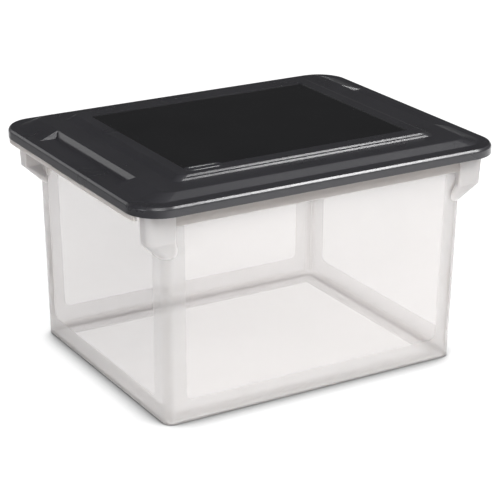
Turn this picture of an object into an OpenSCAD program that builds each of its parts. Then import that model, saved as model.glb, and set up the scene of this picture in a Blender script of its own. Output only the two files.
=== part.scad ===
// Portable file box: a see-through tub with moulded folder rails, and a lift-off lid.
// Origin at the centre of the base, X along the long side, front at -Y, +Z up, millimetres.

/* [Tub] */
// Outer length of the base
base_l = 381; // [350:1:410]
// Outer depth of the base
base_d = 307; // [280:1:330]
// Height of the underside of the rim
rim_z = 251.5; // [220:0.5:300]
// Outward lean of each wall between the base and the rim
wall_lean = 4; // [3:0.5:10]
// Thickness of the walls
wall_t = 2; // [1.6:0.1:2.6]
// Thickness of the floor
floor_t = 2.4; // [1.8:0.1:3.5]
// Corner radius of the walls, seen from above
corner_r = 12; // [10:0.5:16]
// Radius of the outer edge of the base
base_edge_r = 3; // [1.5:0.5:5]
// Radius where the floor meets the walls inside
floor_fillet_r = 5; // [2:0.5:7]

/* [Wall panels] */
// Width of the frame beside the polished panel of a long wall
frame_w_long = 25; // [16:1:34]
// Width of the frame beside the polished panel of a short wall
frame_w_short = 26; // [18:1:40]
// Height of the frame below each polished panel
frame_h = 26.5; // [18:0.5:40]
// Radius of the lower corners of each panel
panel_corner_r = 8; // [4:0.5:12]
// Depth of each panel below its frame
panel_step = 0.4; // [0.2:0.1:0.8]

/* [Corner ribs] */
// Height of the top of the inner corner ribs
rib_top = 127; // [90:1:170]
// Height of their lower end
rib_foot = 8.5; // [6:0.5:20]
// Thickness of a rib
rib_t = 1.6; // [1:0.1:2.4]
// How far a rib stands in from the corner at its foot
rib_depth = 2; // [1:0.5:3.5]

/* [Rim] */
// Reach of the rim beyond each short wall, the hand grip
grip_reach = 34; // [32:0.2:42]
// Reach of the rim beyond each long wall
side_reach = 22.4; // [15:0.2:24]
// Thickness of the rim plate
rim_t = 2.2; // [1.8:0.1:3]
// Height of the folder rail above the underside of the rim
rail_h = 8; // [6:0.5:9]
// How far the grip lip hangs below the rim
lip_drop = 6; // [4:0.5:10]
// Thickness of the root of the grip lip
lip_t = 1.8; // [1.4:0.1:2.6]
// How far the lip lies behind the face of the lid's skirt
lip_setback = 0.8; // [0.5:0.1:1.2]
// How far the apron of each long side hangs below the rim
apron_drop = 18; // [12:0.5:26]
// Distance of the apron's face from the wall
apron_out = 6.5; // [4.5:0.5:7]
// Thickness of the apron
apron_t = 1.8; // [1.4:0.1:2.2]

/* [Lifting notch] */
// Width of the notch under the lid at each short end
notch_w = 76; // [50:1:110]
// Height of the gap that it leaves
notch_gap = 2; // [1.5:0.1:3]
// Depth of the notch, from the edge of the rim inward
notch_run = 8; // [6:0.5:12]

/* [Corner posts] */
// How far a post stands out from the short wall
post_out_l = 21.5; // [14:0.5:24]
// How far a post stands out from the long wall
post_out_d = 8.5; // [7:0.5:11]
// Length of a post along the long side
post_l = 33.5; // [28:0.5:38]
// Length of a post along the short side
post_d = 22.5; // [18:0.5:34]
// Radius of a post's outer corner
post_r = 9; // [6:0.5:12]
// Radius of its other upright corners
post_edge_r = 2; // [1.5:0.5:4]
// Height of the upright part of a post
post_upright = 35.5; // [20:0.5:45]
// How far the upright part draws in towards its lower end
post_draft = 1.5; // [0.5:0.5:3]
// Height over which a post runs out into the walls
post_runout = 22; // [18:0.5:45]
// How far its foot spreads along the short wall
post_spread = 8; // [0:0.5:12]

/* [Lid] */
// Thickness of the top of the lid
lid_t = 2.2; // [1.8:0.1:2.6]
// Thickness of the skirt
skirt_t = 2; // [1.6:0.1:2.6]
// Clearance between the skirt and the rim
lid_gap = 0.6; // [0.4:0.1:1]
// Height of the skirt
skirt_h = 11.5; // [11:0.5:16]
// Corner radius of the lid, seen from above
lid_corner_r = 38; // [30:1:50]
// Radius of the top edge of the skirt
lid_edge_r = 4; // [2.5:0.5:6]
// Width of the level border inside the edge at each short end
border_w_end = 13.2; // [10:0.2:16]
// Width of that border along each long side
border_w_side = 15.4; // [12:0.2:18]
// Rise of the deck above the border
deck_rise = 7; // [4:0.5:10]
// Run of the ramp at each long side
side_ramp = 8; // [5:0.5:12]
// Run of the ramp at each short end
end_ramp = 23.5; // [20:0.5:30]

/* [Lid panel] */
// Level margin between the deck's edge and the raised panel
deck_margin = 24.4; // [18:0.2:32]
// Rise of the panel above the deck
panel_rise = 5.5; // [3:0.5:8]
// Run of the panel's slope at the long sides
panel_side_run = 5; // [3:0.5:8]
// Run of the panel's slope at the short ends
panel_end_run = 13.5; // [8:0.5:18]
// Corner radius of the raised panel
raised_r = 9; // [6:0.5:14]
// Frame at the short ends of the polished field
field_frame_end = 12.4; // [9:0.2:18]
// Frame along the long sides of the polished field
field_frame_side = 15.5; // [12:0.5:26]
// Depth of the polished field
field_sink = 1; // [0.5:0.1:1.3]
// Corner radius of the polished field
field_r = 3; // [1:0.5:6]

/* [Finger pockets] */
// Length of the pocket in each end ramp
pocket_l = 193; // [140:1:220]
// How far the pocket cuts into the deck
pocket_in = 0.6; // [0.4:0.2:2.4]
// Run of the pocket's inner wall
pocket_run = 5; // [3:0.2:7]
// Run of the slope at each end of the pocket
pocket_end_run = 6; // [3:0.5:10]
// Fall of the pocket's floor towards its inner wall
pocket_fall = 0.6; // [0.3:0.1:1]
// How far that floor runs out on the level border
pocket_out = 2; // [1:0.5:4]

/* [Bare plate] */
// Length of the bare plate
plate_l = 41; // [30:1:60]
// Width of the bare plate
plate_w = 11; // [7:0.5:12]
// Distance of the plate from the end of the polished field
plate_inset = 1; // [0:0.5:20]
// How far its middle lies in front of that field
plate_out = 2; // [0:0.5:3]
// Height of the bead round the plate
bead_h = 0.5; // [0.3:0.1:0.8]
// Width of that bead
bead_w = 1; // [0.8:0.1:1.6]
// Pad left round the plate, at the level of the frame
pad_w = 3; // [1.5:0.1:4]

/* [Hidden] */
$fn = 48;
over = 1;
edge_steps = 5;

// Walls at the rim, and the corner posts
wall_l = base_l + 2*wall_lean;
wall_d = base_d + 2*wall_lean;
post_x = wall_l/2 + post_out_l;
post_y = wall_d/2 + post_out_d;
post_foot_z = rim_z - post_upright - post_runout;
rail_top = rim_z + rail_h;

// Rim plate, and the lid that drops over it
rim_l = wall_l + 2*grip_reach;
rim_d = wall_d + 2*side_reach;
rim_r = lid_corner_r - skirt_t - lid_gap;
lid_l = rim_l + 2*(lid_gap + skirt_t);
lid_d = rim_d + 2*(lid_gap + skirt_t);
lip_out = lid_gap + skirt_t - lip_setback;

// Levels of the lid
border_z = rim_z + skirt_h;
deck_z = border_z + deck_rise;
top_z = deck_z + panel_rise;

// Outlines of the lid's steps, from the border inward
ramp_l = lid_l - 2*border_w_end;
ramp_d = lid_d - 2*border_w_side;
ramp_r = lid_corner_r - border_w_end;
deck_l = ramp_l - 2*end_ramp;
deck_d = ramp_d - 2*side_ramp;
deck_r = ramp_r - side_ramp;
foot_l = deck_l - 2*deck_margin;
foot_d = deck_d - 2*deck_margin;
raised_l = foot_l - 2*panel_end_run;
raised_d = foot_d - 2*panel_side_run;
field_l = raised_l - 2*field_frame_end;
field_d = raised_d - 2*field_frame_side;
plate_x = -field_l/2 + plate_inset + plate_l/2;
plate_y = -field_d/2 - plate_out;

// Outward lean of a wall at height z
function lean(z) = wall_lean*z/rim_z;

// Points round a rounded rectangle at height z, from the corner at +X +Y
function ring(l, d, r, z) = [
  for (corner = [0:3], i = [0:$fn/4])
    let (a = 90*(corner + 4*i/$fn), x = corner == 0 || corner == 3 ? 1 : -1, y = corner < 2 ? 1 : -1)
    [x*(l/2 - r) + r*cos(a), y*(d/2 - r) + r*sin(a), z]];

// Solid through a list of rings, from the bottom up
module loft(rings) {
  n = len(rings[0]);
  last = len(rings) - 1;
  bottom = [for (i = [0:n - 1]) i];
  top = [for (i = [0:n - 1]) last*n + n - 1 - i];
  sides = [
    for (k = [0:last - 1], i = [0:n - 1]) let (next = (i + 1) % n)
      [k*n + i, (k + 1)*n + i, (k + 1)*n + next, k*n + next]];
  polyhedron([for (ring = rings) each ring], concat([bottom, top], sides));
}

// Rounded rectangle centred on the origin
module outline(l, d, r) {
  hull() for (x = [-1, 1], y = [-1, 1]) translate([x*(l/2 - r), y*(d/2 - r)]) circle(r);
}

// Both ends of the box, then all four corners, from the one at +X +Y
module both_ends() { for (turn = [0, 180]) rotate([0, 0, turn]) children(); }
module four_corners() { for (x = [0, 1], y = [0, 1]) mirror([x, 0, 0]) mirror([0, y, 0]) children(); }

// ---- tub ----

// Rings of the leaning walls with a rounded foot, at a distance inside the outer face
function wall_ring(z, inset, pull) =
  ring(base_l + 2*(lean(z) - inset - pull), base_d + 2*(lean(z) - inset - pull), corner_r - inset - pull, z);
function wall_rings(inset, z_low, edge_r, z_high) = [
  for (i = [0:edge_steps]) let (a = 90*i/edge_steps)
    wall_ring(z_low + edge_r*(1 - cos(a)), inset, edge_r*(1 - sin(a))),
  wall_ring(z_high, inset, 0)];

// Outside of the tub: walls, the rim plate round them, and the folder rails above it
function tub_rings() = concat(wall_rings(0, 0, base_edge_r, rim_z), [
  ring(rim_l, rim_d, rim_r, rim_z),
  ring(rim_l, rim_d, rim_r, rim_z + rim_t),
  wall_ring(rim_z + rim_t, 0, 0),
  wall_ring(rail_top, 0, 0)]);

// Outline of a corner post, drawn in on its two outer faces
module post_outline(shell, draw_in) {
  near_x = post_x - post_l + post_edge_r + shell;
  near_y = post_y - post_d + post_edge_r + shell;
  far_x = post_x - post_edge_r - shell - draw_in;
  far_y = post_y - post_edge_r - shell - draw_in;
  translate([post_x - post_r - draw_in, post_y - post_r - draw_in]) circle(post_r - shell);
  for (p = [[near_x, near_y], [near_x, far_y], [far_x, near_y]]) translate(p) circle(post_edge_r);
}

// Corner post that bulges out under the rim and runs out into the walls
module post(shell, z_top) {
  // the slope's inside lies higher, which keeps its wall even
  slope_lift = 0.4*shell;
  bend_z = rim_z - post_upright + slope_lift;
  foot_z = post_foot_z + slope_lift;
  toe_r = corner_r - shell - wall_t/2;
  toe_x = base_l/2 + lean(foot_z) - corner_r;
  toe_y = base_d/2 + lean(foot_z) - corner_r;
  hull() {
    translate([0, 0, rim_z]) linear_extrude(z_top - rim_z) post_outline(shell, 0);
    translate([0, 0, bend_z]) linear_extrude(over) post_outline(shell, post_draft);
  }
  hull() {
    translate([0, 0, bend_z - over]) linear_extrude(over) post_outline(shell, post_draft);
    // the toe lies inside the walls
    translate([0, 0, foot_z]) linear_extrude(over)
      for (p = [[toe_x, toe_y], [toe_x, toe_y - post_spread]]) translate(p) circle(toe_r);
  }
}

// Lip under the rim at the short ends, where the fingers grip
module grip_lip() {
  intersection() {
    difference() {
      loft([
        ring(rim_l + 2*lip_out, rim_d + 2*lip_out, rim_r + lip_out, rim_z - lip_drop),
        ring(rim_l + 2*lip_out, rim_d + 2*lip_out, rim_r + lip_out, rim_z),
        ring(rim_l, rim_d, rim_r, rim_z),
        ring(rim_l, rim_d, rim_r, rim_z + rim_t/2)]);
      translate([0, 0, rim_z - lip_drop - over]) linear_extrude(lip_drop + rim_t + over)
        outline(rim_l - 2*lip_t, rim_d - 2*lip_t, rim_r - lip_t);
    }
    translate([-lid_l/2, -wall_d/2, 0]) cube([lid_l, wall_d, rail_top]);
  }
}

// Band that hangs from the rim along each long side, between the posts
module aprons() {
  span = 2*(post_x - post_l + wall_t);
  both_ends()
    translate([-span/2, wall_d/2 + apron_out - apron_t, rim_z - apron_drop])
      cube([span, apron_t, apron_drop + rim_t/2]);
}

// Dished floor of the lifting notch
module notch_pan() {
  pan_l = notch_run + rim_t;
  both_ends()
    translate([rim_l/2 - pan_l, -notch_w/2 - rim_t, rim_z - notch_gap - rim_t])
      cube([pan_l - lip_t/2, notch_w + 2*rim_t, notch_gap + 1.5*rim_t]);
}

module notch_cut() {
  both_ends()
    translate([rim_l/2 - notch_run, -notch_w/2, rim_z - notch_gap])
      cube([notch_run + lip_out + over, notch_w, notch_gap + rim_t + over]);
}

// Rib inside each corner, on the diagonal
module corner_ribs() {
  root_r = corner_r - wall_t - rib_depth;
  intersection() {
    loft(wall_rings(wall_t/2, 0, base_edge_r, rim_z));
    four_corners()
      translate([base_l/2 - corner_r, base_d/2 - corner_r, rib_foot]) rotate([0, 0, 45])
        translate([root_r, -rib_t/2, 0]) cube([2*corner_r, rib_t, rib_top - rib_foot]);
  }
}

// Upright outline with rounded lower corners, its foot on the X axis
module panel_outline(w, h) {
  hull() for (x = [-1, 1]) {
    translate([x*(w/2 - panel_corner_r), panel_corner_r]) circle(panel_corner_r);
    // the upright edges lean out like the walls
    translate([x*((w - over)/2 + lean(h)), h - over/2]) square(over, center = true);
  }
}

// Shallow step round each polished wall panel
module wall_panels() {
  height = rim_z - frame_h - over;
  foot_l = base_l + 2*(lean(frame_h) - frame_w_long);
  foot_d = base_d + 2*(lean(frame_h) - frame_w_short);
  // the cut reaches halfway to the back of the apron
  reach = apron_out - apron_t;
  difference() {
    translate([0, 0, frame_h]) {
      rotate([90, 0, 0]) linear_extrude(wall_d + reach, center = true) panel_outline(foot_l, height);
      rotate([90, 0, 90]) linear_extrude(wall_l + reach, center = true) panel_outline(foot_d, height);
    }
    loft(wall_rings(panel_step, 0, base_edge_r, rim_z));
  }
}

module tub() {
  color("gainsboro") difference() {
    union() {
      loft(tub_rings());
      four_corners() post(0, rim_z + rim_t/2);
      grip_lip();
      aprons();
      notch_pan();
    }
    difference() {
      union() {
        loft(wall_rings(wall_t, floor_t, floor_fillet_r, rail_top + over));
        four_corners() post(wall_t, rail_top + over);
      }
      corner_ribs();
    }
    notch_cut();
    wall_panels();
  }
}

// ---- lid ----

// Rings of the lid's outer form, or of its hollow underside, in from the skirt's
// face and down from the top. A slope's underside steps in by a quarter of the
// thickness above it, which keeps its wall even.
function lid_rings(side, roof, panel_roof) =
  let (edge_r = lid_edge_r - side, edge_z = border_z - roof - edge_r, in = roof/2, panel_in = panel_roof/2)
  concat(
    [ring(lid_l - 2*side, lid_d - 2*side, lid_corner_r - side, side > 0 ? rim_z - over : rim_z)],
    [for (i = [0:edge_steps]) let (a = 90*i/edge_steps, pull = side + edge_r*(1 - cos(a)))
      ring(lid_l - 2*pull, lid_d - 2*pull, lid_corner_r - pull, edge_z + edge_r*sin(a))],
    [ring(ramp_l - in, ramp_d - in, ramp_r - in/2, border_z - roof),
     ring(deck_l - in, deck_d - in, deck_r - in/2, deck_z - roof),
     ring(foot_l - panel_in, foot_d - panel_in, raised_r, deck_z - roof)],
    // half a cosine wave from the foot of the raised panel to its brow
    [for (i = [1:edge_steps])
      let (t = i/edge_steps, level = deck_z - roof + (panel_rise - panel_roof + roof)*(1 - cos(180*t))/2)
      ring(foot_l - 2*panel_end_run*t - panel_in, foot_d - 2*panel_side_run*t - panel_in, raised_r, level)]);

// Wedge cut level into an end ramp, or with a thickness the skin round it
module pocket(skin) {
  wall_top = deck_l/2 - pocket_in;
  wall_foot = wall_top + pocket_run;
  floor_z = border_z - pocket_fall;
  edge_x = ramp_l/2 + pocket_out;
  depth = deck_z - floor_z;
  // the slopes run on past the lid's surface
  wall_on = over*pocket_run/depth;
  floor_on = over*pocket_fall/(edge_x - wall_foot);
  end_top = pocket_l/2 + skin + over*pocket_end_run/depth;
  end_foot = pocket_l/2 + skin - pocket_end_run*(depth + skin)/depth;
  both_ends() intersection() {
    rotate([90, 0, 0]) linear_extrude(2*(end_top + over), center = true) polygon([
      [wall_top - wall_on - skin, deck_z + over],
      [wall_foot - skin, floor_z - skin],
      [edge_x + over, border_z + floor_on - skin],
      [edge_x + over, deck_z + over]]);
    rotate([90, 0, 90]) linear_extrude(lid_l) polygon([
      [-end_top, deck_z + over],
      [-end_foot, floor_z - skin],
      [end_foot, floor_z - skin],
      [end_top, deck_z + over]]);
  }
}

// Long shape with round ends, for the bare plate
module plate_outline(grow) {
  translate([plate_x, plate_y])
    hull() for (x = [-1, 1]) translate([x*(plate_l - plate_w)/2, 0]) circle(plate_w/2 + grow);
}

// Polished field of the lid, which steps round the plate's pad
module polished_field() {
  translate([0, 0, top_z - field_sink]) linear_extrude(field_sink + over) difference() {
    outline(field_l, field_d, field_r);
    plate_outline(pad_w);
  }
}

module plate_bead() {
  translate([0, 0, top_z - field_sink/2]) linear_extrude(bead_h + field_sink/2) difference() {
    plate_outline(0);
    plate_outline(-bead_w);
  }
}

// Tongue behind the skirt that hangs in each lifting notch
module lifting_tongues() {
  tongue_z = rim_z - notch_gap + lid_gap;
  both_ends()
    translate([rim_l/2 - skirt_t - lid_gap, -notch_w/2 + skirt_t, tongue_z])
      cube([skirt_t, notch_w - 2*skirt_t, border_z - lid_t/2 - tongue_z]);
}

module lid() {
  color([0.2, 0.2, 0.22]) {
    difference() {
      loft(lid_rings(0, 0, 0));
      pocket(0);
      polished_field();
      difference() {
        loft(lid_rings(skirt_t, lid_t, lid_t + field_sink));
        pocket(lid_t);
      }
    }
    plate_bead();
    lifting_tongues();
  }
}

tub();
lid();
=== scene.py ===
"""Looks of a see-through file box with a dark lift-off lid. Metres, +Z up."""

import math

import bmesh
import bpy
from mathutils import Matrix, Vector


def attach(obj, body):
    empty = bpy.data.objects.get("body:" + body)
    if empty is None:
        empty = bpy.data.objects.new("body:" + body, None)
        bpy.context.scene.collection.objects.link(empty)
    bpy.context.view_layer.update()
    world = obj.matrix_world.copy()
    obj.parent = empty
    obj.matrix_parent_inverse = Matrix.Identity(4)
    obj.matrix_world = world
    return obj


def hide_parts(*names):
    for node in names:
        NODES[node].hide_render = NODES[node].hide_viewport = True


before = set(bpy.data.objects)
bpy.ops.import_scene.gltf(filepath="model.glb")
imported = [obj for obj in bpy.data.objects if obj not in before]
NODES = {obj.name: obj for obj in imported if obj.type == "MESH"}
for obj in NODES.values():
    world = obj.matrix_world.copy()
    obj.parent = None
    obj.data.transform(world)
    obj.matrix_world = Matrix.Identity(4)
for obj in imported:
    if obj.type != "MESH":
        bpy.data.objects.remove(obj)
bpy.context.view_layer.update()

MM = 0.001
LEVEL = 0.99  # least part of a normal along an axis for a face that counts as square to it

# Walls of the tub, as the frame has them: half sizes at the base, lean and rim height
BASE_X, BASE_Y, LEAN, RIM_Z = 0.1905, 0.1535, 0.004, 0.2515
PANEL_STEP, WALL_T = 0.0004, 0.002
# Half sizes of the floor's polished field, and a height that only the floor stays under
FLOOR_FIELD_X, FLOOR_FIELD_Y, FLOOR_TOP = 0.1685, 0.1285, 0.01
# Lowest point of the rim, and of the skirt between the posts with its two half lengths; above
# these the thick plastic takes a darker copy as painted shade under the lid
RIM_LOW, APRON_LOW, APRON_X, APRON_Y = 0.245, 0.229, 0.180, 0.141


# ---------------------------------------------------------------- node helpers
def grey(level):
    return level, level, level


def new_material(name):
    mat = bpy.data.materials.new(name)
    mat.use_nodes = True
    tree = mat.node_tree
    tree.nodes.clear()
    return mat, tree


def node(tree, kind, **values):
    n = tree.nodes.new(kind)
    for key, value in values.items():
        if hasattr(n, key):
            setattr(n, key, value)
        else:
            n.inputs[key.replace("_", " ")].default_value = value
    return n


def link(tree, a, b):
    tree.links.new(a, b)


def ramp(tree, fac, stops):
    n = tree.nodes.new("ShaderNodeValToRGB")
    link(tree, fac, n.inputs["Fac"])
    cr = n.color_ramp
    while len(cr.elements) < len(stops):
        cr.elements.new(0.5)
    for element, (position, colour) in zip(cr.elements, stops):
        element.position = position
        element.color = (*colour, 1.0)
    return n


def noise(tree, coords, scale, detail, roughness=0.5):
    n = node(tree, "ShaderNodeTexNoise", Scale=scale, Detail=detail, Roughness=roughness)
    link(tree, coords.outputs["Object"], n.inputs["Vector"])
    return n


def arithmetic(tree, operation, first, second=None):
    """Output of a math node whose values are sockets or numbers."""
    n = node(tree, "ShaderNodeMath", operation=operation)
    for socket, value in zip(n.inputs, (first, second)):
        if isinstance(value, bpy.types.NodeSocket):
            link(tree, value, socket)
        elif value is not None:
            socket.default_value = value
    return n.outputs["Value"]


def map_range(tree, value, source, target):
    n = node(tree, "ShaderNodeMapRange")
    for name, number in zip(("From Min", "From Max", "To Min", "To Max"), (*source, *target)):
        n.inputs[name].default_value = number
    link(tree, value, n.inputs["Value"])
    return n.outputs["Result"]


def split(tree, vector):
    n = node(tree, "ShaderNodeSeparateXYZ")
    link(tree, vector, n.inputs["Vector"])
    return n.outputs


def grain_bump(tree, bsdf, height, strength, distance):
    bump = node(tree, "ShaderNodeBump", Strength=strength, Distance=distance)
    link(tree, height, bump.inputs["Height"])
    link(tree, bump.outputs["Normal"], bsdf.inputs["Normal"])


def vary_roughness(tree, bsdf, fac, rough, spread):
    varied = map_range(tree, fac, (0.0, 1.0), (rough - spread, rough + spread))
    link(tree, varied, bsdf.inputs["Roughness"])


# ---------------------------------------------------------------- materials
PLASTIC_IOR = 1.49


def see_through(name, colour, alpha, rough, grain, grain_scale, variation, milk):
    """Thin natural plastic, milky or polished, with moulded grain."""
    mat, tree = new_material(name)
    out = node(tree, "ShaderNodeOutputMaterial")
    bsdf = node(tree, "ShaderNodeBsdfPrincipled", Alpha=alpha, IOR=PLASTIC_IOR)
    link(tree, bsdf.outputs["BSDF"], out.inputs["Surface"])
    coords = node(tree, "ShaderNodeTexCoord")
    cloud = noise(tree, coords, 9.0, 3.0)
    tint = ramp(tree, cloud.outputs["Fac"], [
        (0.35, tuple(c * (1 - variation) for c in colour)), (0.65, colour)])
    link(tree, tint.outputs["Color"], bsdf.inputs["Base Color"])
    fine = noise(tree, coords, grain_scale, 4.0, 0.6)
    vary_roughness(tree, bsdf, fine.outputs["Fac"], rough, 0.05)
    grain_bump(tree, bsdf, fine.outputs["Fac"], grain, 0.0002)
    if milk:
        bsdf.inputs["Subsurface Weight"].default_value = 1.0
        bsdf.inputs["Subsurface Radius"].default_value = (1.0, 0.97, 0.93)
        bsdf.inputs["Subsurface Scale"].default_value = milk
    return mat


def dark_plastic(name, colour, rough, grain, grain_scale):
    """Dark moulded plastic with a satin grain."""
    mat, tree = new_material(name)
    out = node(tree, "ShaderNodeOutputMaterial")
    bsdf = node(tree, "ShaderNodeBsdfPrincipled", IOR=PLASTIC_IOR)
    link(tree, bsdf.outputs["BSDF"], out.inputs["Surface"])
    coords = node(tree, "ShaderNodeTexCoord")
    cloud = noise(tree, coords, 14.0, 4.0)
    tint = ramp(tree, cloud.outputs["Fac"], [
        (0.3, tuple(c * 0.9 for c in colour)), (0.7, tuple(c * 1.08 for c in colour))])
    link(tree, tint.outputs["Color"], bsdf.inputs["Base Color"])
    vary_roughness(tree, bsdf, cloud.outputs["Fac"], rough, 0.03)
    fine = node(tree, "ShaderNodeTexVoronoi", Scale=grain_scale)
    link(tree, coords.outputs["Object"], fine.inputs["Vector"])
    grain_bump(tree, bsdf, fine.outputs["Distance"], grain, 0.0001)
    return mat


FROSTED = see_through("frosted_plastic", (0.70, 0.67, 0.65), 0.44, 0.5, 0.35, 900, 0.03, 0.008)
CLEAR = see_through("clear_plastic", (0.90, 0.85, 0.825), 0.21, 0.16, 0.05, 60, 0.02, 0.0)
SOLID = see_through("thick_plastic", (0.80, 0.755, 0.73), 0.84, 0.5, 0.35, 900, 0.03, 0.008)
# darker copy of the thick plastic: painted shade under the lid on the rim, its lips and the skirt
# between the posts
RIM_PAINTED_SHADE = see_through("rim_plastic_painted_shade", (0.56, 0.525, 0.50), 0.90, 0.5, 0.35, 900, 0.03, 0.008)
LID = dark_plastic("dark_satin_plastic", (0.031, 0.0305, 0.0345), 0.28, 0.25, 1400)
# the very dark polished colour is also put on the tongues, where it is painted shade in the
# lifting notches
FIELD_AND_NOTCH_SHADE = dark_plastic("dark_polished_plastic_and_notch_shade", (0.012, 0.012, 0.013), 0.12, 0.03, 300)
TUB_FINISHES, LID_FINISHES = (FROSTED, CLEAR, SOLID, RIM_PAINTED_SHADE), (LID, FIELD_AND_NOTCH_SHADE)


def smooth(piece, degrees):
    """Smooth shading that leaves the large flat faces level."""
    for p in piece.data.polygons:
        p.use_smooth = True
    piece.data.set_sharp_from_angle(angle=math.radians(degrees))
    m = piece.modifiers.new("normals", "WEIGHTED_NORMAL")
    m.mode = "FACE_AREA"
    m.weight = 50
    m.keep_sharp = True


# ---------------------------------------------------------------- tub
def cut_floor_field(bm):
    """Edges in the floor's two faces along the border of its polished field."""
    for axis, at in ((0, FLOOR_FIELD_X), (1, FLOOR_FIELD_Y)):
        for side in (-1, 1):
            faces = [
                f for f in bm.faces
                if abs(f.normal.z) > LEVEL and f.calc_center_median().z < FLOOR_TOP]
            edges = (e for f in faces for e in f.edges)
            verts = (v for f in faces for v in f.verts)
            geom = list(dict.fromkeys([*faces, *edges, *verts]))
            place, normal = Vector(), Vector()
            place[axis], normal[axis] = side * at, 1.0
            bmesh.ops.bisect_plane(bm, geom=geom, plane_co=place, plane_no=normal)


def is_clear(mesh, poly):
    """True for the polished panels, the inner faces of the walls and the floor's field."""
    n, c = poly.normal, poly.center
    points = [mesh.vertices[i].co for i in poly.vertices]
    if abs(n.z) > LEVEL and c.z < FLOOR_TOP:
        return abs(c.x) < FLOOR_FIELD_X and abs(c.y) < FLOOR_FIELD_Y
    if not 0.0 <= c.z < RIM_Z or max(abs(n.x), abs(n.y)) < LEVEL:
        return False
    axis, half = (0, BASE_X) if abs(n.x) > abs(n.y) else (1, BASE_Y)
    deep = sum(half + LEAN * p.z / RIM_Z - abs(p[axis]) for p in points) / len(points)
    return abs(deep - PANEL_STEP) < 0.0001 or abs(deep - WALL_T) < 0.0002


def is_thick(poly):
    """True outside the walls: rim, skirt below it and corner posts."""
    c = poly.center
    lean = LEAN * c.z / RIM_Z + 0.001
    return abs(c.x) > BASE_X + lean or abs(c.y) > BASE_Y + lean


def in_rim_painted_shade(poly):
    """True on the rim with its lips, and on the skirt between the posts, where a darker copy of
    the thick plastic is painted shade under the lid.
    """
    c = poly.center
    between_posts = abs(c.x) < APRON_X or abs(c.y) < APRON_Y
    return c.z > RIM_LOW or (c.z > APRON_LOW and between_posts)


def tub_finish(mesh, poly):
    if is_thick(poly):
        # painted shade: under the lid the thick plastic takes its darker copy
        return RIM_PAINTED_SHADE if in_rim_painted_shade(poly) else SOLID
    return CLEAR if is_clear(mesh, poly) else FROSTED


def build_tub():
    """The tub's own mesh with shared corners, and a material on each of its finishes."""
    bm = bmesh.new()
    bm.from_mesh(NODES["tub"].data)
    bmesh.ops.remove_doubles(bm, verts=bm.verts, dist=3e-6)
    bmesh.ops.dissolve_limit(
        bm, angle_limit=math.radians(0.2), verts=bm.verts, edges=bm.edges,
        use_dissolve_boundaries=False)
    cut_floor_field(bm)
    mesh = bpy.data.meshes.new("tub_shell")
    bm.to_mesh(mesh)
    bm.free()
    for finish in TUB_FINISHES:
        mesh.materials.append(finish)
    for poly in mesh.polygons:
        poly.material_index = TUB_FINISHES.index(tub_finish(mesh, poly))
    piece = bpy.data.objects.new("tub_shell", mesh)
    bpy.context.scene.collection.objects.link(piece)
    smooth(piece, 30)
    return piece


tub = build_tub()
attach(tub, "tub")
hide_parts("tub")

# ---------------------------------------------------------------- lid
# The frame's own sizes, in millimetres, drawn again with rounded changes of slope
LID_L, LID_D, LID_R, EDGE_R, EDGE_RUN = 462.2, 365.0, 38.0, 4.0, 2.8
SKIRT_Z, BORDER_Z, DECK_Z, TOP_Z = 251.5, 263.0, 270.0, 275.5
BORDER_END, BORDER_SIDE, END_RAMP, SIDE_RAMP = 13.2, 15.4, 23.5, 8.0
DECK_MARGIN, END_RUN, SIDE_RUN, RAISED_R = 24.4, 13.5, 5.0, 9.0
FRAME_END, FRAME_SIDE, FIELD_R, FIELD_SINK = 12.4, 15.5, 3.0, 1.0
RAMP_L, RAMP_D, RAMP_R = LID_L - 2 * BORDER_END, LID_D - 2 * BORDER_SIDE, LID_R - BORDER_END
DECK_L, DECK_D, DECK_R = RAMP_L - 2 * END_RAMP, RAMP_D - 2 * SIDE_RAMP, RAMP_R - SIDE_RAMP
FOOT_L, FOOT_D = DECK_L - 2 * DECK_MARGIN, DECK_D - 2 * DECK_MARGIN
RAISED_L, RAISED_D = FOOT_L - 2 * END_RUN, FOOT_D - 2 * SIDE_RUN
FIELD_L, FIELD_D = RAISED_L - 2 * FRAME_END, RAISED_D - 2 * FRAME_SIDE
LID_T, SKIRT_T, LID_GAP = 2.2, 2.0, 0.6
POCKET_L, POCKET_RUN, POCKET_END_RUN = 193.0, 5.0, 6.0
POCKET_FALL, POCKET_IN, POCKET_OUT, POCKET_FOOT_R = 0.6, 0.6, 2.0, 7.0
PLATE_L, PLATE_W, PLATE_INSET, PLATE_OUT, PAD_W = 41.0, 11.0, 1.0, 2.0, 3.0
PLATE_X, PLATE_Y = -FIELD_L / 2 + PLATE_INSET + PLATE_L / 2, -FIELD_D / 2 - PLATE_OUT
BEAD_H, BEAD_W = 0.5, 1.6
NOTCH_W, NOTCH_GAP = 76.0, 2.0
# The tongue stands further out than in the frame so that its dark face fills the lifting notch's
# gap, and near the lid's ends it takes the very dark polished colour: both painted shade
TONGUE_IN, TONGUE_SIDE_GAP, TONGUE_FOOT_GAP, TONGUE_SHADE_ZONE = 1.6, 1.0, 0.3, 6.0
# Angle of the narrow flats in degrees, the radii that lead to and from them, and their sizes
FACET, WALL_TURN_R, TOP_TURN_R = 52.0, 3.33, 1.17
EDGE_FLAT, PANEL_FLAT_RUN, PANEL_RISER = 1.9, 1.25, (0.1, 1.4)
RAMP_EASE = 0.1  # share of a ramp over which each of its ends is rounded
ROUNDING = 0.35  # radius on the edges left sharp
OVERCUT = 1.0  # how far a cutter goes past the face that it cuts


def new_object(name, verts, faces):
    """Mesh object from points in millimetres."""
    mesh = bpy.data.meshes.new(name)
    mesh.from_pydata([(x * MM, y * MM, z * MM) for x, y, z in verts], [], faces)
    mesh.update()
    obj = bpy.data.objects.new(name, mesh)
    bpy.context.scene.collection.objects.link(obj)
    return obj


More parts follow.
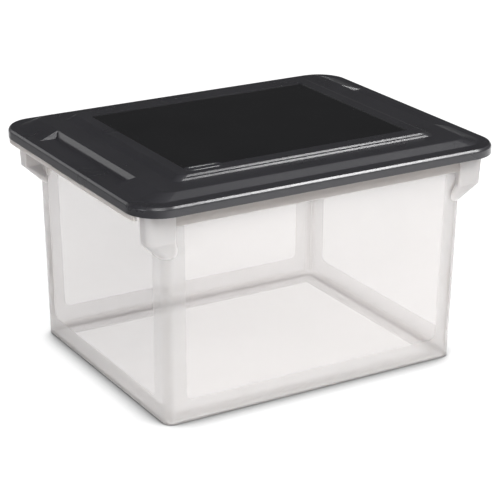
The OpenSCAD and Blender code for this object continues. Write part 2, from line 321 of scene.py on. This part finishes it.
def ring(l, d, r, z, steps=16):
    """Points of a level rectangle with rounded corners."""
    out = []
    for corner, (sx, sy) in enumerate(((1, 1), (-1, 1), (-1, -1), (1, -1))):
        for i in range(steps + 1):
            a = math.radians(90 * (corner + i / steps))
            x = sx * (l / 2 - r) + r * math.cos(a)
            y = sy * (d / 2 - r) + r * math.sin(a)
            out.append((x, y, z))
    return out


def loft_object(name, rings):
    """Closed skin over rings of as many points each."""
    n = len(rings[0])
    faces = [tuple(reversed(range(n)))]
    for k in range(len(rings) - 1):
        for i in range(n):
            j = (i + 1) % n
            faces.append((k * n + i, k * n + j, (k + 1) * n + j, (k + 1) * n + i))
    faces.append(tuple((len(rings) - 1) * n + i for i in range(n)))
    return new_object(name, [p for r in rings for p in r], faces)


def eased(ease, steps=5):
    """(share of the way, share of the height) up a slope with both ends rounded over ease."""
    out = []
    for i in range(steps + 1):
        u = -ease + 2 * ease * i / steps
        out.append((u, (u + ease) ** 2 / (4 * ease)))
    for i in range(steps + 1):
        u = 1 - ease + 2 * ease * i / steps
        out.append((u, 1 - (1 + ease - u) ** 2 / (4 * ease)))
    return out


def turned(r, first, last, steps=5):
    """(across, up) along an arc whose slope goes from first to last degrees."""
    out, at = [], [0.0, 0.0]
    for i in range(steps):
        a = math.radians(first + (last - first) * (i + 0.5) / steps)
        length = r * math.radians(abs(last - first)) / steps
        at = [at[0] + length * math.cos(a), at[1] + length * math.sin(a)]
        out.append(tuple(at))
    return out


def chain(*parts):
    """Points of one outline, each part going on from where the last one ends."""
    out = [(0.0, 0.0)]
    for part in parts:
        x, z = out[-1]
        out += [(x + dx, z + dz) for dx, dz in part]
    return out


def lid_edge():
    """(in, up) over the lid's rounded edge, which has a narrow flat at FACET degrees."""
    flat = math.radians(FACET)
    points = chain(
        turned(WALL_TURN_R, 90, FACET),
        [(EDGE_FLAT * math.cos(flat), EDGE_FLAT * math.sin(flat))],
        turned(TOP_TURN_R, FACET, 0))
    x, z = points[-1]
    return [(EDGE_RUN * px / x, EDGE_R * pz / z) for px, pz in points]


def panel_side():
    """(share of the way, share of the height) up the raised panel's side.

    It has two flats at FACET degrees with a riser between them.
    """
    flat = (PANEL_FLAT_RUN, PANEL_FLAT_RUN * math.tan(math.radians(FACET)))
    points = chain(
        turned(TOP_TURN_R, 0, FACET), [flat], [PANEL_RISER], [flat], turned(TOP_TURN_R, FACET, 0))
    x, z = points[-1]
    return [(px / x, pz / z) for px, pz in points]


def lid_rings(side, roof, panel_roof):
    """Outer form of the lid with all values 0, or its hollow with its wall thicknesses."""
    edge_r = EDGE_R - side
    edge_z = BORDER_Z - roof - edge_r
    step, panel_in = roof / 2, panel_roof / 2
    low = SKIRT_Z - OVERCUT if side else SKIRT_Z
    rings = [ring(LID_L - 2 * side, LID_D - 2 * side, LID_R - side, low)]
    for across, up in lid_edge():
        pull = side + across * edge_r / EDGE_R
        z = edge_z + up * edge_r / EDGE_R
        rings.append(ring(LID_L - 2 * pull, LID_D - 2 * pull, LID_R - pull, z))
    for u, h in eased(RAMP_EASE):
        rings.append(ring(
            RAMP_L - step + (DECK_L - RAMP_L) * u, RAMP_D - step + (DECK_D - RAMP_D) * u,
            RAMP_R - step / 2 + (DECK_R - RAMP_R) * u, BORDER_Z - roof + (DECK_Z - BORDER_Z) * h))
    rise = TOP_Z - DECK_Z - panel_roof + roof
    for t, h in panel_side():
        end_t = math.acos(1 - 2 * min(h, 1.0)) / math.pi
        rings.append(ring(
            FOOT_L - panel_in + (RAISED_L - FOOT_L) * end_t,
            FOOT_D - panel_in + (RAISED_D - FOOT_D) * t,
            RAISED_R, DECK_Z - roof + rise * h))
    return rings


def prism(name, outline, low, high):
    """Upright prism over an outline of (x, y) points."""
    return loft_object(name, [[(x, y, z) for x, y in outline] for z in (low, high)])


def stadium(grow, steps=24):
    """Outline of the bare plate, grown on all sides."""
    r = PLATE_W / 2 + grow
    half = (PLATE_L - PLATE_W) / 2
    turns = [math.pi * (i / steps - 0.5) for i in range(steps + 1)]
    right = [(PLATE_X + half + r * math.cos(a), PLATE_Y + r * math.sin(a)) for a in turns]
    left = [(PLATE_X - half - r * math.cos(a), PLATE_Y - r * math.sin(a)) for a in turns]
    return right + left


def pocket_cutter(name, side, skin, steps=6):
    """Wedge with sloped ends, cut level into an end ramp; skin grows it for the hollow."""
    wall_top = DECK_L / 2 - POCKET_IN
    wall_foot = wall_top + POCKET_RUN
    floor_z = BORDER_Z - POCKET_FALL
    edge_x = RAMP_L / 2 + POCKET_OUT
    depth = DECK_Z - floor_z
    foot = [(wall_foot - skin, floor_z - skin)]
    if not skin:
        slope = math.atan2(depth, POCKET_RUN)
        reach = POCKET_FOOT_R * math.tan(slope / 2)
        foot = []
        for i in range(steps + 1):
            a = slope * (1 - i / steps)
            x = wall_foot + reach - POCKET_FOOT_R * math.sin(a)
            foot.append((x, floor_z + POCKET_FOOT_R * (1 - math.cos(a))))
    top_x = wall_top - OVERCUT * POCKET_RUN / depth - skin
    edge_z = BORDER_Z + OVERCUT * POCKET_FALL / (edge_x - wall_foot) - skin
    section = [
        (top_x, DECK_Z + OVERCUT), *foot, (edge_x + OVERCUT, edge_z),
        (edge_x + OVERCUT, DECK_Z + OVERCUT)]
    n = len(section)
    verts = []
    for end in (-1, 1):
        for x, z in section:
            half = POCKET_L / 2 + skin + POCKET_END_RUN * (z - DECK_Z) / depth
            verts.append((side * x, end * half, z))
    faces = [tuple(range(n)), tuple(reversed(range(n, 2 * n)))]
    faces += [(i, n + i, n + (i + 1) % n, (i + 1) % n) for i in range(n)]
    return new_object(name, verts, [tuple(reversed(f)) for f in faces] if side < 0 else faces)


def apply_modifiers(obj):
    dg = bpy.context.evaluated_depsgraph_get()
    made = bpy.data.meshes.new_from_object(obj.evaluated_get(dg))
    obj.modifiers.clear()
    obj.data = made


def combine(obj, others, operation):
    for other in others:
        m = obj.modifiers.new(operation.lower(), "BOOLEAN")
        m.operation = operation
        m.solver = "EXACT"
        m.object = other
    apply_modifiers(obj)
    for other in others:
        bpy.data.objects.remove(other)


def round_edges(obj, width, segments, degrees):
    m = obj.modifiers.new("bevel", "BEVEL")
    m.width = width * MM
    m.segments = segments
    m.limit_method = "ANGLE"
    m.angle_limit = math.radians(degrees)
    m.use_clamp_overlap = True
    apply_modifiers(obj)


def lifting_tongue(side):
    """Tongue behind the skirt that hangs in a lifting notch, set close behind the skirt so that
    its dark face fills the notch's gap as painted shade.
    """
    inner = side * (LID_L / 2 - 2 * SKIRT_T - 2 * LID_GAP)
    outer = side * (LID_L / 2 - TONGUE_IN)
    y, z = NOTCH_W / 2 - TONGUE_SIDE_GAP, SKIRT_Z - NOTCH_GAP + TONGUE_FOOT_GAP
    outline = [(inner, -side * y), (outer, -side * y), (outer, side * y), (inner, side * y)]
    return prism(f"tongue_{side}", outline, z, BORDER_Z - LID_T / 2)


def plate_bead(steps=6):
    """Half-round bead along the edge of the bare plate."""
    section = [(0.0, TOP_Z - FIELD_SINK / 2)]
    for i in range(steps + 1):
        t = i / steps
        up = BEAD_H * math.sqrt(max(0.0, 1 - (2 * t - 1) ** 2))
        section.append((-BEAD_W * t, TOP_Z + up))
    section.append((-BEAD_W, TOP_Z - FIELD_SINK / 2))
    rings = [[(x, y, z) for x, y in stadium(grow)] for grow, z in section]
    n, m = len(rings[0]), len(rings)
    faces = []
    for k in range(m):
        for i in range(n):
            j, low, high = (i + 1) % n, k * n, ((k + 1) % m) * n
            faces.append((low + i, low + j, high + j, high + i))
    return new_object("bead", [p for r in rings for p in r], faces)


def lid_finish(poly):
    """Polished on the field; the tongues take the same very dark polished colour as painted shade
    in the lifting notches; satin elsewhere.
    """
    c = poly.center / MM
    on_field = (
        poly.normal.z > LEVEL and abs(c.x) < FIELD_L / 2 and abs(c.y) < FIELD_D / 2
        and abs(c.z - (TOP_Z - FIELD_SINK)) < 0.2)
    tongue_painted_shade = (
        abs(c.x) > LID_L / 2 - TONGUE_SHADE_ZONE and abs(c.y) < NOTCH_W / 2 and c.z < SKIRT_Z - 0.1)
    return FIELD_AND_NOTCH_SHADE if on_field or tongue_painted_shade else LID


def build_lid():
    inner = loft_object("inner", lid_rings(SKIRT_T, LID_T, LID_T + FIELD_SINK))
    skins = [pocket_cutter("skin_l", -1, LID_T), pocket_cutter("skin_r", 1, LID_T)]
    combine(inner, skins, "DIFFERENCE")
    field_outline = [(x, y) for x, y, _ in ring(FIELD_L, FIELD_D, FIELD_R, 0, 6)]
    field = prism("field", field_outline, TOP_Z - FIELD_SINK, TOP_Z + OVERCUT)
    pad = prism("pad", stadium(PAD_W), DECK_Z, TOP_Z + 2 * OVERCUT)
    combine(field, [pad], "DIFFERENCE")
    lid = loft_object("lid_shell", lid_rings(0, 0, 0))
    pockets = [pocket_cutter("pocket_l", -1, 0), pocket_cutter("pocket_r", 1, 0)]
    combine(lid, [*pockets, field, inner], "DIFFERENCE")
    combine(lid, [plate_bead(), lifting_tongue(-1), lifting_tongue(1)], "UNION")
    round_edges(lid, ROUNDING, 2, 35)
    lid.data.materials.clear()
    for finish in LID_FINISHES:
        lid.data.materials.append(finish)
    for poly in lid.data.polygons:
        poly.material_index = LID_FINISHES.index(lid_finish(poly))
    smooth(lid, 32)
    return lid


lid = build_lid()
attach(lid, "lid")
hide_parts("lid")


# ---------------------------------------------------------------- floor
FLOOR_HALF, FLOOR_Z = 40.0, -0.0002
# The floor's colour, and how much of it the eye sees as its own light and as shade
PALE, WHITE_SHARE, SHADE = 0.82, 0.93, 0.2
# Reach of the painted shadow round the base, and the part of the floor under the tub that stays
# white
CONTACT, UNDER_INSET, UNDER_SHARE = 0.045, 0.0065, 0.95


def diffuse(tree, level):
    return node(tree, "ShaderNodeBsdfDiffuse", Color=(*grey(level), 1)).outputs["BSDF"]


def emission(tree, strength):
    n = node(tree, "ShaderNodeEmission", Color=(1, 1, 1, 1))
    link(tree, strength, n.inputs["Strength"])
    return n.outputs["Emission"]


def added(tree, first, second):
    n = node(tree, "ShaderNodeAddShader")
    link(tree, first, n.inputs[0])
    link(tree, second, n.inputs[1])
    return n.outputs["Shader"]


def mixed(tree, fac, first, second):
    n = node(tree, "ShaderNodeMixShader")
    link(tree, fac, n.inputs["Fac"])
    link(tree, first, n.inputs[1])
    link(tree, second, n.inputs[2])
    return n.outputs["Shader"]


def within(tree, place, half_x, half_y, value):
    """A value inside a rectangle round the origin, 0 outside it."""
    parts = split(tree, place)
    sides = []
    for axis, half in (("X", half_x), ("Y", half_y)):
        size = arithmetic(tree, "ABSOLUTE", parts[axis])
        sides.append(arithmetic(tree, "LESS_THAN", size, half))
    return arithmetic(tree, "MULTIPLY", arithmetic(tree, "MULTIPLY", *sides), value)


def floor_material():
    """Pale floor that the eye sees as an even white with a painted shadow round the base."""
    mat, tree = new_material("pale_floor")
    out = node(tree, "ShaderNodeOutputMaterial")
    path = node(tree, "ShaderNodeLightPath").outputs
    place = node(tree, "ShaderNodeTexCoord").outputs["Object"]
    pale, shade = diffuse(tree, PALE), diffuse(tree, SHADE)

    # painted shadow: ambient occlusion dims the floor's white glow where the object stands on it,
    # though not under the clear tub
    contact = node(tree, "ShaderNodeAmbientOcclusion", samples=16, Distance=CONTACT)
    painted_contact_shadow = ramp(tree, contact.outputs["AO"], [
        (0.47, grey(0.05)), (0.58, grey(0.50)), (0.72, grey(0.88)), (0.90, grey(1.0))])
    below = within(tree, place, BASE_X - UNDER_INSET, BASE_Y - UNDER_INSET, UNDER_SHARE)
    lit = arithmetic(tree, "MAXIMUM", painted_contact_shadow.outputs["Color"], below)
    white = emission(tree, arithmetic(tree, "MULTIPLY", lit, WHITE_SHARE))
    seen = added(tree, shade, white)

    # painted reflection: what gloss shows of the floor is a glow of its own, darker on the left
    # and far away
    across = map_range(tree, split(tree, place)["X"], (-0.62, 0.0), (0.05, 1.0))
    far = node(tree, "ShaderNodeVectorMath", operation="LENGTH")
    link(tree, place, far.inputs[0])
    fading = map_range(tree, far.outputs["Value"], (1.6, 3.2), (1.0, 0.08))
    near = arithmetic(tree, "MULTIPLY", across, fading)
    mirrored = added(tree, mixed(tree, near, shade, pale), emission(tree, near))

    unseen = mixed(tree, path["Is Glossy Ray"], pale, mirrored)
    eye = arithmetic(tree, "MAXIMUM", path["Is Camera Ray"], path["Is Transmission Ray"])
    link(tree, mixed(tree, eye, unseen, seen), out.inputs["Surface"])
    return mat


def build_floor():
    mesh = bpy.data.meshes.new("floor")
    s = FLOOR_HALF
    mesh.from_pydata([(-s, -s, 0), (s, -s, 0), (s, s, 0), (-s, s, 0)], [], [(0, 1, 2, 3)])
    floor = bpy.data.objects.new("floor", mesh)
    bpy.context.scene.collection.objects.link(floor)
    floor.location.z = FLOOR_Z
    mesh.materials.append(floor_material())


build_floor()


# ---------------------------------------------------------------- light
def facing(tree, sight, direction):
    """How far a line of sight points in a direction, from -1 to 1."""
    n = node(tree, "ShaderNodeVectorMath", operation="DOT_PRODUCT")
    link(tree, sight, n.inputs[0])
    n.inputs[1].default_value = direction
    return n.outputs["Value"]


def build_world():
    """Soft room: pale above the camera's side, dark behind, with a grey band as its horizon."""
    world = bpy.data.worlds.new("studio")
    bpy.context.scene.world = world
    world.use_nodes = True
    tree = world.node_tree
    tree.nodes.clear()
    out = node(tree, "ShaderNodeOutputWorld")
    room = node(tree, "ShaderNodeBackground")
    sight = node(tree, "ShaderNodeTexCoord").outputs["Generated"]
    front = facing(tree, sight, Vector((0.25, -0.72, 0.65)).normalized())
    sky = ramp(tree, map_range(tree, front, (-1.0, 1.0), (0.0, 1.0)), [
        (0.0, grey(0.045)), (0.50, grey(0.045)),
        (0.68, (0.25, 0.25, 0.26)), (1.0, (0.5, 0.5, 0.51))])
    # sine of the elevation: the horizon up to 3 degrees, the room from 9 degrees
    band = ramp(tree, split(tree, sight)["Z"], [(0.06, grey(1.0)), (0.15, grey(0.0))])
    band.color_ramp.interpolation = "EASE"
    # the horizon is darker behind the object, where the lid would mirror it
    behind = facing(tree, sight, (0.6, 0.8, 0.0))
    wall = ramp(tree, behind, [(0.70, grey(0.6)), (0.92, grey(0.12))])
    whole = node(tree, "ShaderNodeMix", data_type="RGBA")
    link(tree, band.outputs["Color"], whole.inputs["Factor"])
    link(tree, sky.outputs["Color"], whole.inputs["A"])
    link(tree, wall.outputs["Color"], whole.inputs["B"])
    link(tree, whole.outputs["Result"], room.inputs["Color"])
    link(tree, room.outputs["Background"], out.inputs["Surface"])


def softbox(name, place, aim, size, power, colour=(1, 1, 1)):
    data = bpy.data.lights.new(name, "AREA")
    data.shape = "RECTANGLE"
    data.size, data.size_y = size
    data.energy = power
    data.color = colour
    lamp = bpy.data.objects.new(name, data)
    bpy.context.scene.collection.objects.link(lamp)
    lamp.location = place
    lamp.rotation_euler = (Vector(aim) - Vector(place)).to_track_quat("-Z", "Y").to_euler()
    return lamp


build_world()
MIDDLE = (0, 0, 0.15)
COOL = (0.94, 0.95, 1.0)
softbox("key_box", (1.29, -1.45, 1.56), MIDDLE, (0.6, 1.1), 20)
softbox("front_box", (-0.9, -1.8, 2.0), MIDDLE, (1.3, 1.0), 34)
softbox("pocket_box", (-1.35, 2.1, 0.95), (0, 0, 0.2), (1.0, 0.7), 4)
softbox("edge_box", (1.16, -1.31, 1.79), MIDDLE, (0.5, 0.5), 29).visible_diffuse = False
softbox("left_box", (-2.2, -0.6, 0.9), MIDDLE, (0.7, 0.7), 10, COOL)
softbox("back_fill", (0.4, 2.6, 1.0), MIDDLE, (2.6, 1.2), 34).visible_glossy = False


# ---------------------------------------------------------------- camera
LENS, DISTANCE, TARGET = 129.75, 2.1272, Vector((0.00473, 0.0, 0.11825))
AZIMUTH, ELEVATION, ROLL = map(math.radians, (-30.86, 20.83, 0.34))


def build_camera():
    data = bpy.data.cameras.new("camera")
    data.sensor_width = 36.0
    data.lens = LENS
    data.clip_start, data.clip_end = 0.05, 60.0
    cam = bpy.data.objects.new("camera", data)
    bpy.context.scene.collection.objects.link(cam)
    back = Vector((
        math.sin(AZIMUTH) * math.cos(ELEVATION), -math.cos(AZIMUTH) * math.cos(ELEVATION),
        math.sin(ELEVATION)))
    turn = (-back).to_track_quat("-Z", "Y").to_matrix().to_4x4() @ Matrix.Rotation(ROLL, 4, "Z")
    cam.matrix_world = Matrix.Translation(TARGET + back * DISTANCE) @ turn
    bpy.context.scene.camera = cam


build_camera()

scene = bpy.context.scene
scene.view_settings.view_transform = "Standard"
scene.cycles.transparent_max_bounces = 32
